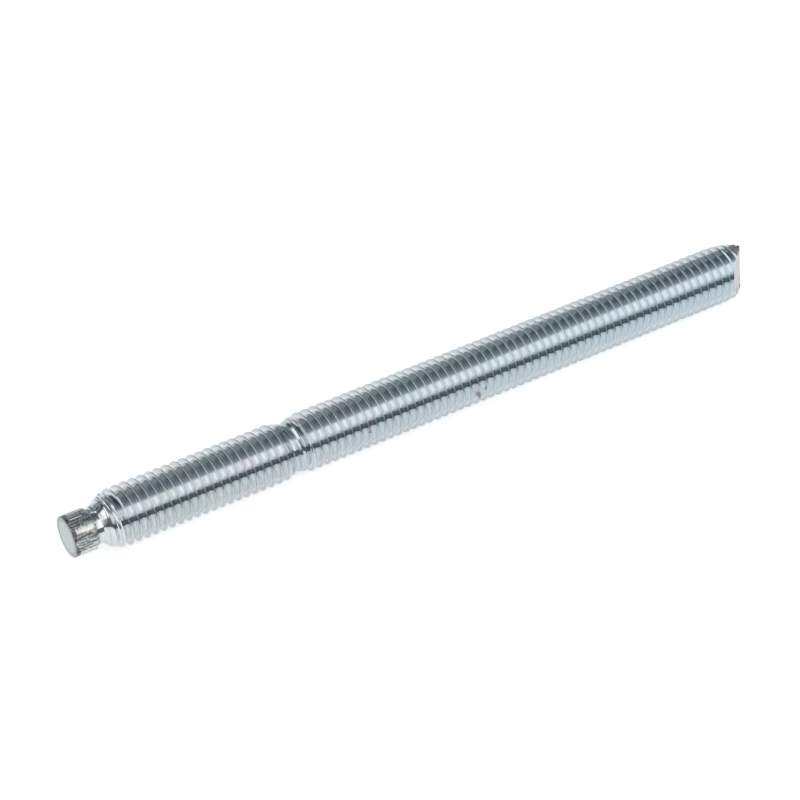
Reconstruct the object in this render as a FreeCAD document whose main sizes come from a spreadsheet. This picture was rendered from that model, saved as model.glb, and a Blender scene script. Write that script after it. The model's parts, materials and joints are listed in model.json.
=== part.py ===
import FreeCAD, Part
import math
import os
import Sketcher

# Bonded anchor stud with a metric coarse thread, formed from one steel bar.
#
# It is set into a drilled hole in masonry with resin. From the drive end to the tip it has a short
# hexagon for the setting tool, a neck, the fixture thread for the nut, a ring-shaped depth mark, the
# embedment thread, and a roof-shaped tip that stirs the resin and stops the stud from turning.
#
# The body is drawn with the bar's axis on X: the drive face is at X = 0, and the ridge of the tip is
# at X = TotalLength and runs along Z. It is then laid on its side on Z = 0, with X = 0 at mid-length.
# The fine thread isn't cut: the shank is the plain round that the crests touch. The curves at its
# ends and the flanks of the depth mark are where the crests run out.
#
# Lengths are in millimetres and angles in degrees.

OUT_DIR = "parts"
NODE = "anchor_stud"
SHEET = "Dimensions"

# Each driving dimension: its alias on the sheet, its value and what it measures.
DIMENSIONS = [
    ("TotalLength", 130.0, "drive face to ridge of the tip"),
    ("EmbedmentLength", 90.0, "middle of the depth mark to ridge of the tip"),
    ("MajorDiameter", 9.85, "over the thread's crests"),
    ("ThreadDepth", 0.87, "crest to root, on the radius"),
    ("DriveAcrossFlats", 6.95, "hexagon for the setting tool"),
    ("DriveLength", 4.35, "drive face to neck"),
    ("DriveCornerRadius", 2.0, "rounding of the hexagon's long edges"),
    ("DriveFaceInset", 0.05, "flat of the hexagon to rim of the round face"),
    ("DriveLeadAngle", 22.0, "cone behind the drive face, from the axis"),
    ("DriveTurn", 8.0, "ridge of the tip to the hexagon's nearest corner"),
    ("NeckDepth", 0.5, "flat of the hexagon down to the neck"),
    ("NeckLength", 1.0, "hexagon to the cone that leads up to the thread"),
    ("ConeAngle", 45.0, "cones at both ends of the neck, from the axis"),
    ("StartCurve", 6.0, "radius along which the first crests rise"),
    ("MarkDepth", 0.775, "crest to floor of the depth mark"),
    ("MarkFloor", 0.4, "width of the depth mark's floor"),
    ("MarkFlankAngle", 19.4, "flanks of the depth mark, from the axis"),
    ("TipCurve", 22.0, "radius along which the last crests fall"),
    ("RoofAngle", 45.0, "each slope of the roof, from the axis"),
    ("RestingTurn", -9.5, "ridge of the tip from upright, as the stud lies"),
]

# Sizes and places that more than one sketch takes from the sheet.
TIP = f"{SHEET}.TotalLength"
MAJOR_RADIUS = f"({SHEET}.MajorDiameter / 2)"
ROOT_RADIUS = f"({MAJOR_RADIUS} - {SHEET}.ThreadDepth)"
CLEAR_RADIUS = f"{SHEET}.MajorDiameter"
FLAT_RADIUS = f"({SHEET}.DriveAcrossFlats / 2)"
CORNER_RADIUS = f"({FLAT_RADIUS} / cos(30))"
NECK_START = f"{SHEET}.DriveLength"
NECK_RADIUS = f"({FLAT_RADIUS} - {SHEET}.NeckDepth)"

# Sketcher's numbers for a sketch's own axes and for the points of an edge.
H_AXIS = -1
V_AXIS = -2
START = 1
END = 2
CENTRE = 3
ORIGIN = (H_AXIS, START)

SKETCH_NORMAL = FreeCAD.Vector(0, 0, 1)
BAR_AXIS = FreeCAD.Vector(1, 0, 0)
SIDES = 6
FULL_TURN = 360.0
QUARTER_TURN = 90.0
LENGTH_TOLERANCE = 1e-6


def add_dimensions(doc):
    """Fill the sheet with the driving dimensions, each under its alias."""
    sheet = doc.addObject("Spreadsheet::Sheet", SHEET)
    for row, (alias, value, meaning) in enumerate(DIMENSIONS, start=1):
        sheet.set(f"A{row}", alias)
        sheet.set(f"B{row}", str(value))
        sheet.set(f"C{row}", meaning)
        sheet.setAlias(f"B{row}", alias)
    doc.recompute()


def value_of(owner, expression):
    """Return what an expression on the sheet comes to, as a plain number."""
    return float(owner.evalExpression(expression))


def add_sketch(body, name, plane_role):
    """Add a sketch on one of the body's own origin planes."""
    plane = next(item for item in body.Origin.OriginFeatures if item.Role == plane_role)
    sketch = body.newObject("Sketcher::SketchObject", name)
    sketch.AttachmentSupport = (plane, [""])
    sketch.MapMode = "FlatFace"
    return sketch


def point_at(sketch, across, up):
    """Return the sketch point whose two distances are given as expressions."""
    return FreeCAD.Vector(value_of(sketch, across), value_of(sketch, up), 0)


def add_line(sketch, start, end):
    """Draw one straight line."""
    return sketch.addGeometry(Part.LineSegment(start, end), False)


def add_arc(sketch, centre, start, end):
    """Draw the arc that runs anticlockwise about the centre from one point to another."""
    from_centre = [point - centre for point in (start, end)]
    angles = [math.atan2(arm.y, arm.x) for arm in from_centre]
    circle = Part.Circle(centre, SKETCH_NORMAL, from_centre[0].Length)
    return sketch.addGeometry(Part.ArcOfCircle(circle, *angles), False)


def hold(sketch, kind, *where):
    """Add a constraint that has no size of its own."""
    sketch.addConstraint(Sketcher.Constraint(kind, *where))


def size(sketch, kind, where, expression):
    """Add a dimension to the sketch and bind it to an expression on the sheet."""
    value = value_of(sketch, expression)
    if kind == "Angle":
        value = math.radians(value)
    number = sketch.addConstraint(Sketcher.Constraint(kind, *where, value))
    sketch.setExpression(f"Constraints[{number}]", expression)


def place(sketch, edge, point, across=None, up=None):
    """Dimension a point of an edge from the sketch's origin, across, up or both."""
    if across:
        size(sketch, "DistanceX", (*ORIGIN, edge, point), across)
    if up:
        size(sketch, "DistanceY", (*ORIGIN, edge, point), up)


def add_outline(sketch, corners):
    """Draw a closed outline of straight lines and return their numbers.

    Each corner is a pair of expressions, across and up. They put the lines near their places, and
    the constraints that the caller adds hold them there.
    """
    points = [point_at(sketch, *corner) for corner in corners]
    lines = [add_line(sketch, start, end) for start, end in zip(points, points[1:] + points[:1])]
    for line, following in zip(lines, lines[1:] + lines[:1]):
        hold(sketch, "Coincident", line, END, following, START)
    return lines


def add_turned(body, kind, name, sketch):
    """Turn the sketch once round the bar's axis, as a Revolution or a Groove."""
    feature = body.newObject(f"PartDesign::{kind}", name)
    feature.Profile = sketch
    feature.ReferenceAxis = (sketch, ["H_Axis"])
    feature.Angle = FULL_TURN


def edges_along_axis(shape):
    """Name the edges that run parallel to the bar's axis."""
    names = []
    for number, edge in enumerate(shape.Edges, start=1):
        run = edge.lastVertex().Point - edge.firstVertex().Point
        if math.hypot(run.y, run.z) < LENGTH_TOLERANCE:
            names.append(f"Edge{number}")
    return names


def add_drive_hexagon(body):
    """Add the hexagon that the setting tool drives, with its long edges rounded."""
    sketch = add_sketch(body, "DriveSection", "YZ_Plane")
    turns = [f"(90 - {SHEET}.DriveTurn + {side} * {FULL_TURN / SIDES})" for side in range(SIDES)]
    corners = [(f"{CORNER_RADIUS} * cos({turn})", f"{CORNER_RADIUS} * sin({turn})") for turn in turns]
    lines = add_outline(sketch, corners)
    centre = point_at(sketch, "0", "0")
    rim = sketch.addGeometry(Part.Circle(centre, SKETCH_NORMAL, value_of(sketch, CORNER_RADIUS)), True)
    hold(sketch, "Coincident", rim, CENTRE, *ORIGIN)
    for line in lines:
        hold(sketch, "PointOnObject", line, START, rim)
    for line in lines[1:]:
        hold(sketch, "Equal", lines[0], line)
    size(sketch, "Radius", (rim,), CORNER_RADIUS)
    size(sketch, "Angle", (lines[4],), f"90 - {SHEET}.DriveTurn")

    hexagon = body.newObject("PartDesign::Pad", "DriveHexagon")
    hexagon.Profile = sketch
    hexagon.setExpression("Length", f"{SHEET}.DriveLength")
    body.Document.recompute()

    rounding = body.newObject("PartDesign::Fillet", "DriveCorners")
    rounding.Base = (hexagon, edges_along_axis(hexagon.Shape))
    rounding.setExpression("Radius", f"{SHEET}.DriveCornerRadius")


def add_drive_cones(body):
    """Turn the hexagon's corners down to the round face in front and to the neck behind."""
    sketch = add_sketch(body, "DriveConeSections", "XY_Plane")
    face_radius = f"({FLAT_RADIUS} - {SHEET}.DriveFaceInset)"
    lead_length = f"(({CORNER_RADIUS} - {face_radius}) / tan({SHEET}.DriveLeadAngle))"
    lead_corners = [("0", face_radius), (lead_length, CORNER_RADIUS), ("0", CORNER_RADIUS)]
    slope, top, side = add_outline(sketch, lead_corners)
    hold(sketch, "Horizontal", top)
    hold(sketch, "Vertical", side)
    hold(sketch, "PointOnObject", slope, START, V_AXIS)
    place(sketch, slope, START, up=face_radius)
    place(sketch, top, START, up=CORNER_RADIUS)
    size(sketch, "Angle", (slope,), f"{SHEET}.DriveLeadAngle")

    back_length = f"(({CORNER_RADIUS} - {NECK_RADIUS}) / tan({SHEET}.ConeAngle))"
    back_start = f"({NECK_START} - {back_length})"
    back_corners = [(back_start, CORNER_RADIUS), (NECK_START, NECK_RADIUS), (NECK_START, CORNER_RADIUS)]
    slope, side, top = add_outline(sketch, back_corners)
    hold(sketch, "Vertical", side)
    hold(sketch, "Horizontal", top)
    place(sketch, side, START, across=NECK_START, up=NECK_RADIUS)
    place(sketch, side, END, up=CORNER_RADIUS)
    size(sketch, "Angle", (slope,), f"-{SHEET}.ConeAngle")
    add_turned(body, "Groove", "DriveCones", sketch)


def run_out(curve):
    """Give the length in which a curve that leaves the shank level falls to the thread's root."""
    return f"sqrt(2 * {SHEET}.{curve} * {SHEET}.ThreadDepth - {SHEET}.ThreadDepth ^ 2)"


def add_bar(body):
    """Turn the neck, the cone up to the thread, and the shank with a curve at each end."""
    sketch = add_sketch(body, "BarSection", "XY_Plane")
    neck_end = f"({NECK_START} + {SHEET}.NeckLength)"
    cone_end = f"({neck_end} + ({ROOT_RADIUS} - {NECK_RADIUS}) / tan({SHEET}.ConeAngle))"
    full_start = f"({cone_end} + {run_out('StartCurve')})"
    full_end = f"({TIP} - {run_out('TipCurve')})"
    points = [point_at(sketch, across, up) for across, up in (
        (NECK_START, "0"),
        (NECK_START, NECK_RADIUS),
        (neck_end, NECK_RADIUS),
        (cone_end, ROOT_RADIUS),
        (full_start, MAJOR_RADIUS),
        (full_end, MAJOR_RADIUS),
        (TIP, ROOT_RADIUS),
        (TIP, "0"),
    )]
    start_centre = point_at(sketch, full_start, f"{MAJOR_RADIUS} - {SHEET}.StartCurve")
    tip_centre = point_at(sketch, full_end, f"{MAJOR_RADIUS} - {SHEET}.TipCurve")
    back = add_line(sketch, points[0], points[1])
    neck = add_line(sketch, points[1], points[2])
    cone = add_line(sketch, points[2], points[3])
    start_curve = add_arc(sketch, start_centre, points[4], points[3])
    shank = add_line(sketch, points[4], points[5])
    tip_curve = add_arc(sketch, tip_centre, points[6], points[5])
    end = add_line(sketch, points[6], points[7])
    axis = add_line(sketch, points[7], points[0])

    hold(sketch, "Coincident", back, END, neck, START)
    hold(sketch, "Coincident", neck, END, cone, START)
    hold(sketch, "Coincident", cone, END, start_curve, END)
    hold(sketch, "Tangent", start_curve, START, shank, START)
    hold(sketch, "Tangent", shank, END, tip_curve, END)
    hold(sketch, "Coincident", tip_curve, START, end, START)
    hold(sketch, "Coincident", end, END, axis, START)
    hold(sketch, "Coincident", axis, END, back, START)
    hold(sketch, "PointOnObject", back, START, H_AXIS)
    for line in (back, end):
        hold(sketch, "Vertical", line)
    for line in (neck, shank, axis):
        hold(sketch, "Horizontal", line)

    place(sketch, neck, START, across=NECK_START, up=NECK_RADIUS)
    place(sketch, neck, END, across=neck_end)
    size(sketch, "Angle", (cone,), f"{SHEET}.ConeAngle")
    place(sketch, cone, END, up=ROOT_RADIUS)
    size(sketch, "Radius", (start_curve,), f"{SHEET}.StartCurve")
    place(sketch, shank, START, up=MAJOR_RADIUS)
    size(sketch, "Radius", (tip_curve,), f"{SHEET}.TipCurve")
    place(sketch, end, START, across=TIP, up=ROOT_RADIUS)
    add_turned(body, "Revolution", "Bar", sketch)


def add_depth_mark(body):
    """Cut the ring that shows how deep the stud is to be set."""
    sketch = add_sketch(body, "MarkSection", "XY_Plane")
    middle = f"({TIP} - {SHEET}.EmbedmentLength)"
    floor_radius = f"({MAJOR_RADIUS} - {SHEET}.MarkDepth)"
    reach = f"(({CLEAR_RADIUS} - {floor_radius}) / tan({SHEET}.MarkFlankAngle))"
    floor_start = f"({middle} - {SHEET}.MarkFloor / 2)"
    floor_end = f"({middle} + {SHEET}.MarkFloor / 2)"
    floor, rising, top, falling = add_outline(sketch, [
        (floor_start, floor_radius),
        (floor_end, floor_radius),
        (f"{floor_end} + {reach}", CLEAR_RADIUS),
        (f"{floor_start} - {reach}", CLEAR_RADIUS),
    ])
    hold(sketch, "Horizontal", floor)
    hold(sketch, "Horizontal", top)
    hold(sketch, "Equal", rising, falling)
    place(sketch, floor, START, across=floor_start, up=floor_radius)
    place(sketch, floor, END, across=floor_end)
    size(sketch, "Angle", (rising,), f"{SHEET}.MarkFlankAngle")
    place(sketch, top, START, up=CLEAR_RADIUS)
    add_turned(body, "Groove", "DepthMark", sketch)


def add_tip_roof(body):
    """Cut the two slopes that meet in a ridge across the tip."""
    sketch = add_sketch(body, "RoofSection", "XY_Plane")
    slope_end = f"({TIP} - {CLEAR_RADIUS} / tan({SHEET}.RoofAngle))"
    past_tip = f"({TIP} + {CLEAR_RADIUS})"
    upper_slope, upper_side, front, lower_side, lower_slope = add_outline(sketch, [
        (TIP, "0"),
        (slope_end, CLEAR_RADIUS),
        (past_tip, CLEAR_RADIUS),
        (past_tip, f"-{CLEAR_RADIUS}"),
        (slope_end, f"-{CLEAR_RADIUS}"),
    ])
    hold(sketch, "Horizontal", upper_side)
    hold(sketch, "Vertical", front)
    hold(sketch, "Horizontal", lower_side)
    hold(sketch, "Symmetric", upper_slope, END, lower_slope, START, H_AXIS)
    hold(sketch, "PointOnObject", upper_slope, START, H_AXIS)
    place(sketch, upper_slope, START, across=TIP)
    size(sketch, "Angle", (upper_slope,), f"180 - {SHEET}.RoofAngle")
    place(sketch, upper_side, START, up=CLEAR_RADIUS)
    place(sketch, front, START, across=past_tip)

    roof = body.newObject("PartDesign::Pocket", "TipRoof")
    roof.Profile = sketch
    roof.SideType = "Symmetric"
    roof.setExpression("Length", f"2 * {CLEAR_RADIUS}")


def lay_down(body):
    """Lay the stud on its side, turned as it rests, with its middle over the origin."""
    body.Placement = FreeCAD.Placement(FreeCAD.Vector(), FreeCAD.Rotation(BAR_AXIS, QUARTER_TURN))
    body.setExpression("Placement.Rotation.Angle", f"{SHEET}.RestingTurn")
    body.setExpression("Placement.Base.x", f"-{TIP} / 2")
    body.setExpression("Placement.Base.z", MAJOR_RADIUS)


def check_document(doc, body):
    """Stop if a feature failed, a sketch is loose, or a cut or an addition changed nothing."""
    for item in doc.Objects:
        if {"Invalid", "Error"} & set(item.State):
            raise RuntimeError(f"{item.Name} failed: {item.State}")
        if item.isDerivedFrom("Sketcher::SketchObject") and not item.FullyConstrained:
            raise RuntimeError(f"{item.Name} isn't fully constrained")
    features = [item for item in body.Group if item.isDerivedFrom("PartDesign::Feature")]
    for before, after in zip(features, features[1:]):
        added = after.isDerivedFrom("PartDesign::Revolution")
        change = after.Shape.Volume - before.Shape.Volume
        if (change > 0) != added or abs(change) < LENGTH_TOLERANCE:
            raise RuntimeError(f"{after.Name} changes the volume by {change}")
    if body.Shape.isNull() or not body.Shape.isValid() or len(body.Shape.Solids) != 1:
        raise RuntimeError(f"{body.Label} isn't one valid solid")


def main():
    """Build the stud and write its STEP file."""
    doc = FreeCAD.newDocument("AnchorStud")
    add_dimensions(doc)
    body = doc.addObject("PartDesign::Body", "AnchorStud")
    body.Label = NODE
    add_drive_hexagon(body)
    add_drive_cones(body)
    add_bar(body)
    add_depth_mark(body)
    add_tip_roof(body)
    lay_down(body)
    doc.recompute()
    check_document(doc, body)

    os.makedirs(OUT_DIR, exist_ok=True)
    body.Shape.exportStep(os.path.join(OUT_DIR, f"{body.Label}.step"))
    box = body.Shape.BoundBox
    print(f"{body.Label}: {box.XLength:.3f} x {box.YLength:.3f} x {box.ZLength:.3f} mm, {body.Shape.Volume:.1f} mm3")


main()
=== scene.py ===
"""Looks of a zinc-plated M10 bonded anchor stud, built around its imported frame.

The stud is cold-formed from one steel bar: a drive hexagon, a neck, a rolled thread with a depth mark across it, and
a roof-shaped tip. The frame's solid is the plain blank, because the thread is too fine for it. Here the whole
surface is made on the blank's sizes, with the thread rolled into it, so one piece stands for the frame's node.

Lengths are in metres, and the bar's axis runs along X, AXIS_HEIGHT above the floor. An angle round the bar is
measured from +Y towards +Z.
"""

import sys
import json
import logging
import math
from abc import ABC, abstractmethod
from collections.abc import Callable
from dataclasses import dataclass
from enum import Enum
from typing import ClassVar

import bmesh
import bpy
import numpy as np
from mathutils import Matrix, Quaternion, Vector


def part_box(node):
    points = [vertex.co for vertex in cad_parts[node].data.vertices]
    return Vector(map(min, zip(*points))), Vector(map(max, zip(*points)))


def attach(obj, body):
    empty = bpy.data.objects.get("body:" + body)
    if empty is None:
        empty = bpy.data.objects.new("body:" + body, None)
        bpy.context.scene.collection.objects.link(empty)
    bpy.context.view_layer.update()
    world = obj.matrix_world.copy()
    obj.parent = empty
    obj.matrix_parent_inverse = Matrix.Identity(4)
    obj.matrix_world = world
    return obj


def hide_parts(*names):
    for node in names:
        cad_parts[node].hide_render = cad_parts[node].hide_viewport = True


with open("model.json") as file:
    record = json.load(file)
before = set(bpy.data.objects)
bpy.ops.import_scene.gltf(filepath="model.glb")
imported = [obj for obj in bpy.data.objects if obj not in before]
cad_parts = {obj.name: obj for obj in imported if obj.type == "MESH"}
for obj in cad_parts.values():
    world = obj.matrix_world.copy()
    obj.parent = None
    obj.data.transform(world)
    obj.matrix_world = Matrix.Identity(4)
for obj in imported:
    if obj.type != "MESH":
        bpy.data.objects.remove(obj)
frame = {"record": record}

LOG = logging.getLogger("anchor_stud")
NODE = "anchor_stud"
MM = 0.001
# Points nearer to each other than this, a thousandth of a millimetre, count as one.
NEAR = 1e-6
# A face whose normal points along the bar by at least this share lies square across it.
SQUARE_ON = 0.99
# A hexagon turns this far from the middle of a flat to the corner beside it.
FLAT_TO_CORNER = math.radians(30)
# How far behind the drive face a crest first passes over the top of the bar.
FIRST_CREST = 7.37 * MM
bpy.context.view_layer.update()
MOUNTS = {mount["name"]: mount for mount in frame["record"]["mounts"]}
AXIS_HEIGHT = MOUNTS["embedment_thread"]["pos_m"][2]


def wall_ends(name: str) -> tuple[float, float]:
    """Give where a mount's straight wall starts and ends along the bar.

    Args:
        name: The mount's name in the frame's record.

    Returns:
        The two places on X, lowest first.
    """
    mount = MOUNTS[name]
    half = mount["dims"]["length_mm"] * MM / 2
    return mount["pos_m"][0] - half, mount["pos_m"][0] + half


def start_afresh() -> None:
    """Leave edit mode and empty the selection, whatever was selected."""
    if bpy.context.mode != "OBJECT":
        bpy.ops.object.mode_set(mode="OBJECT")
    bpy.ops.object.select_all(action="DESELECT")


def work_on(piece: bpy.types.Object, mode: str = "EDIT") -> None:
    """Select one piece alone, make it the active one and enter a mode with nothing selected in it.

    Args:
        piece: The piece to work on.
        mode: The mode to enter, EDIT or OBJECT.
    """
    start_afresh()
    piece.select_set(True)
    bpy.context.view_layer.objects.active = piece
    if mode == "EDIT":
        bpy.ops.object.mode_set(mode="EDIT")
        bpy.ops.mesh.select_all(action="DESELECT")


def pick(kind: str, wanted: Callable[[bmesh.types.BMFace | bmesh.types.BMEdge], bool]) -> None:
    """Select the faces or edges of the piece in edit mode that pass a test.

    Args:
        kind: FACE or EDGE.
        wanted: Takes a face or an edge and says whether it is to be selected.
    """
    bpy.ops.mesh.select_mode(type=kind)
    bpy.ops.mesh.select_all(action="DESELECT")
    mesh = bpy.context.edit_object.data
    shape = bmesh.from_edit_mesh(mesh)
    for item in shape.faces if kind == "FACE" else shape.edges:
        if wanted(item):
            item.select_set(True)
    bmesh.update_edit_mesh(mesh)


def lies_at(edge: bmesh.types.BMEdge, along: float) -> bool:
    """Say whether an edge lies in the plane across the bar at a place on X."""
    return all(abs(vert.co.x - along) < NEAR for vert in edge.verts)


def extrude_to(along: float, from_along: float, scale: float) -> None:
    """Extrude the selected ring or disc along the bar and scale it round the axis.

    Args:
        along: Where on X the new ring lies.
        from_along: Where on X the selected ring lies.
        scale: The new radius as a share of the selected ring's.
    """
    bpy.ops.mesh.extrude_region_move(TRANSFORM_OT_translate={"value": (along - from_along, 0, 0)})
    bpy.ops.transform.resize(value=(1, scale, scale), center_override=(along, 0, 0))


@dataclass(frozen=True)
class ThreadForm:
    """The rolled thread's section: one pitch of M10 x 1.5, with flat flanks and round roots and shoulders.

    The dies push up two lips of steel at each crest, which meet in a seam.

    Attributes:
        crest_on_top: Where on X a crest passes over the top of the bar.
        seam_depth: How deep the seam is in a full crest.
        open_seam_depth: How deep it is in a crest that isn't full.
    """

    crest_radius: float
    crest_on_top: float
    pitch: float = 1.5 * MM
    pitch_radius: float = 4.44 * MM
    root_radius: float = 3.9 * MM
    flank_angle: float = math.radians(30)
    shoulder_rounding: float = 0.055 * MM
    shoulder_steps: int = 2
    root_steps: int = 3
    seam_depth: float = 0.02 * MM
    open_seam_depth: float = 0.16 * MM

    @property
    def root_rounding(self) -> float:
        """The radius of the arc that joins two flanks at the root."""
        sharp_root = self.pitch_radius - self.pitch / 4 / math.tan(self.flank_angle)
        return (self.root_radius - sharp_root) / (1 / math.sin(self.flank_angle) - 1)

    @property
    def flank_depth(self) -> float:
        """How far a shoulder can slide down its flank before it meets the root's arc."""
        level = 1 - math.sin(self.flank_angle)
        return self.crest_radius - self.root_radius - (self.shoulder_rounding + self.root_rounding) * level

    def flank_at(self, radius: float) -> float:
        """Give how far from the crest's middle a flank lies at a radius."""
        return self.pitch / 4 + (self.pitch_radius - radius) * math.tan(self.flank_angle)

    def half_section(self) -> list[tuple[float, float]]:
        """List the section's points from the seam in the middle of the crest to the bottom of the root.

        Returns:
            The points as distance along the bar from the crest's middle, and radius.
        """
        rounding = self.shoulder_rounding
        slope = math.pi / 2 - self.flank_angle
        flat = self.flank_at(self.crest_radius) - rounding * math.tan(slope / 2)
        shoulder = [math.pi / 2 - slope * step / self.shoulder_steps for step in range(self.shoulder_steps + 1)]
        points = [(0.0, self.crest_radius - self.seam_depth)]
        points += [
            (flat + rounding * math.cos(angle), self.crest_radius - rounding * (1 - math.sin(angle)))
            for angle in shoulder
        ]
        rounding = self.root_rounding
        root = [math.pi + self.flank_angle + slope * step / self.root_steps for step in range(self.root_steps + 1)]
        points += [
            (self.pitch / 2 + rounding * math.cos(angle), self.root_radius + rounding * (1 + math.sin(angle)))
            for angle in root
        ]
        return points

    def section(self) -> list[tuple[float, float]]:
        """List one pitch of the section, from the middle of one root to the middle of the next."""
        half = self.half_section()
        return [(-along, radius) for along, radius in reversed(half[1:])] + half


@dataclass(frozen=True)
class Blank:
    """The plain bar that the thread is rolled into, with the frame's places along X.

    Attributes:
        full_start: Where the first crests reach their full height.
        full_end: Where the last crests start to fall.
        drive_face_inset: How far the round face stays inside the flats.
        drive_lead_angle: How steeply the cone behind the face widens.
        drive_turn: How far the hexagon is turned round the bar.
        mark_floor: How wide the depth mark's bottom is along the bar.
        ridge_angle: Which way the tip's ridge points across the bar.
        joint_gap: How long a strip of the neck closes the joint between the drive end and the shank.
    """

    drive_face: float
    tip: float
    full_start: float
    mark_start: float
    mark_end: float
    full_end: float
    radius: float
    drive_flat_radius: float = 6.95 / 2 * MM
    drive_length: float = 4.35 * MM
    drive_corner_rounding: float = 2.0 * MM
    drive_face_inset: float = 0.05 * MM
    drive_lead_angle: float = math.radians(22)
    drive_turn: float = math.radians(72.5)
    neck_depth: float = 0.5 * MM
    neck_length: float = 1.0 * MM
    cone_angle: float = math.radians(45)
    start_curve: float = 6.0 * MM
    mark_depth: float = 0.775 * MM
    mark_floor: float = 0.4 * MM
    tip_curve: float = 22.0 * MM
    roof_angle: float = math.radians(45)
    ridge_angle: float = math.radians(80.5)
    joint_gap: float = 0.02 * MM

    @property
    def face_radius(self) -> float:
        """The radius of the round drive face."""
        return self.drive_flat_radius - self.drive_face_inset

    @property
    def sharp_corner_radius(self) -> float:
        """The radius at which the hexagon's flats would meet."""
        return self.drive_flat_radius / math.cos(FLAT_TO_CORNER)

    @property
    def crown_radius(self) -> float:
        """The radius that the hexagon's rounded corners reach."""
        return self.sharp_corner_radius - self.drive_corner_rounding * (1 / math.cos(FLAT_TO_CORNER) - 1)

    @property
    def mark_middle(self) -> float:
        """Where the middle of the depth mark is."""
        return (self.mark_start + self.mark_end) / 2

    @property
    def neck_radius(self) -> float:
        """The neck's radius."""
        return self.drive_flat_radius - self.neck_depth

    @property
    def neck_start(self) -> float:
        """Where the hexagon's back cone meets the neck."""
        return self.drive_face + self.drive_length

    def rolled_start(self, root_radius: float) -> float:
        """Give where the cone behind the neck reaches the thread's root and the first crests start to rise."""
        rise = root_radius - self.neck_radius
        return self.neck_start + self.neck_length + rise / math.tan(self.cone_angle)

    def reach(self, along: np.ndarray) -> np.ndarray:
        """Give the radius that crests can reach at each place along the bar.

        Args:
            along: Places on X.

        Returns:
            One radius for each place.
        """
        before = np.clip(self.full_start - along, 0, self.start_curve)
        after = np.clip(along - self.full_end, 0, self.tip_curve)
        start = self.start_curve - np.sqrt(self.start_curve ** 2 - before ** 2)
        tip = self.tip_curve - np.sqrt(self.tip_curve ** 2 - after ** 2)
        flank = (self.mark_end - self.mark_start - self.mark_floor) / 2
        into_mark = 1 - (np.abs(along - self.mark_middle) - self.mark_floor / 2) / flank
        mark = self.mark_depth * np.clip(into_mark, 0, 1)
        return self.radius - start - tip - mark


@dataclass(frozen=True)
class DriveEnd:
    """The swaged hexagon that the setting tool turns.

    Attributes:
        edge_rounding: How far the edge round the drive face is rounded off.
        overlength: How many times as long as the drive end the prism is before it is cut.
    """

    blank: Blank
    steps_round: int = 144
    corner_steps: int = 8
    edge_rounding: float = 0.07 * MM
    edge_steps: int = 3
    overlength: float = 1.2

    def press_prism(self) -> bpy.types.Object:
        """Make the hexagonal prism that the drive end is cut out of.

        Returns:
            The prism with its long edges rounded, a little longer than the drive end.
        """
        blank = self.blank
        turn = Quaternion((1, 0, 0), blank.drive_turn) @ Quaternion((0, 1, 0), math.pi / 2)
        start_afresh()
        bpy.ops.mesh.primitive_cylinder_add(
            vertices=6,
            radius=blank.sharp_corner_radius,
            depth=blank.drive_length * self.overlength,
            location=(blank.drive_face + blank.drive_length / 2, 0, 0),
            rotation=turn.to_euler(),
        )
        prism = bpy.context.object
        bpy.ops.object.transform_apply()
        work_on(prism)
        pick("EDGE", lambda edge: abs(edge.verts[0].co.x - edge.verts[1].co.x) > blank.drive_length)
        bpy.ops.mesh.bevel(
            offset=blank.drive_corner_rounding * math.tan(FLAT_TO_CORNER),
            segments=self.corner_steps,
            affect="EDGES",
        )
        bpy.ops.object.mode_set(mode="OBJECT")
        return prism

    def turn_cones(self) -> bpy.types.Object:
        """Make the turned body that the prism is cut down to.

        Returns:
            A face, the cone behind it, a barrel and the back cone, as one closed shape.
        """
        blank = self.blank
        barrel_radius = blank.sharp_corner_radius
        lead = (barrel_radius - blank.face_radius) / math.tan(blank.drive_lead_angle)
        back = (barrel_radius - blank.neck_radius) / math.tan(blank.cone_angle)
        rings = [
            (blank.drive_face, blank.face_radius),
            (blank.drive_face + lead, barrel_radius),
            (blank.neck_start - back, barrel_radius),
            (blank.neck_start, blank.neck_radius),
        ]
        start_afresh()
        bpy.ops.mesh.primitive_circle_add(
            vertices=self.steps_round,
            radius=blank.face_radius,
            fill_type="NGON",
            location=(blank.drive_face, 0, 0),
            rotation=(0, math.pi / 2, 0),
        )
        turned = bpy.context.object
        bpy.ops.object.transform_apply()
        work_on(turned)
        bpy.ops.mesh.select_all(action="SELECT")
        for (from_along, from_radius), (along, radius) in zip(rings, rings[1:]):
            extrude_to(along, from_along, radius / from_radius)
        bpy.ops.mesh.select_all(action="SELECT")
        bpy.ops.mesh.normals_make_consistent(inside=False)
        bpy.ops.object.mode_set(mode="OBJECT")
        return turned

    def build(self) -> bpy.types.Object:
        """Make the hexagon, open at the back where the neck joins it.

        Returns:
            The piece, with the bar's axis on Y = Z = 0.
        """
        prism = self.press_prism()
        turned = self.turn_cones()
        work_on(prism, mode="OBJECT")
        cut = prism.modifiers.new("Cones", "BOOLEAN")
        cut.operation = "INTERSECT"
        cut.solver = "EXACT"
        cut.object = turned
        bpy.ops.object.modifier_apply(modifier=cut.name)
        bpy.data.objects.remove(turned)

        blank = self.blank
        work_on(prism)
        bpy.ops.mesh.select_all(action="SELECT")
        bpy.ops.mesh.remove_doubles(threshold=NEAR)
        pick("FACE", lambda face: face.normal.x > SQUARE_ON)
        bpy.ops.mesh.delete(type="FACE")
        pick("EDGE", lambda edge: lies_at(edge, blank.drive_face) and len(edge.link_faces) == 2)
        bpy.ops.mesh.bevel(offset=self.edge_rounding, segments=self.edge_steps, affect="EDGES")
        bpy.ops.object.mode_set(mode="OBJECT")
        return prism


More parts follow.
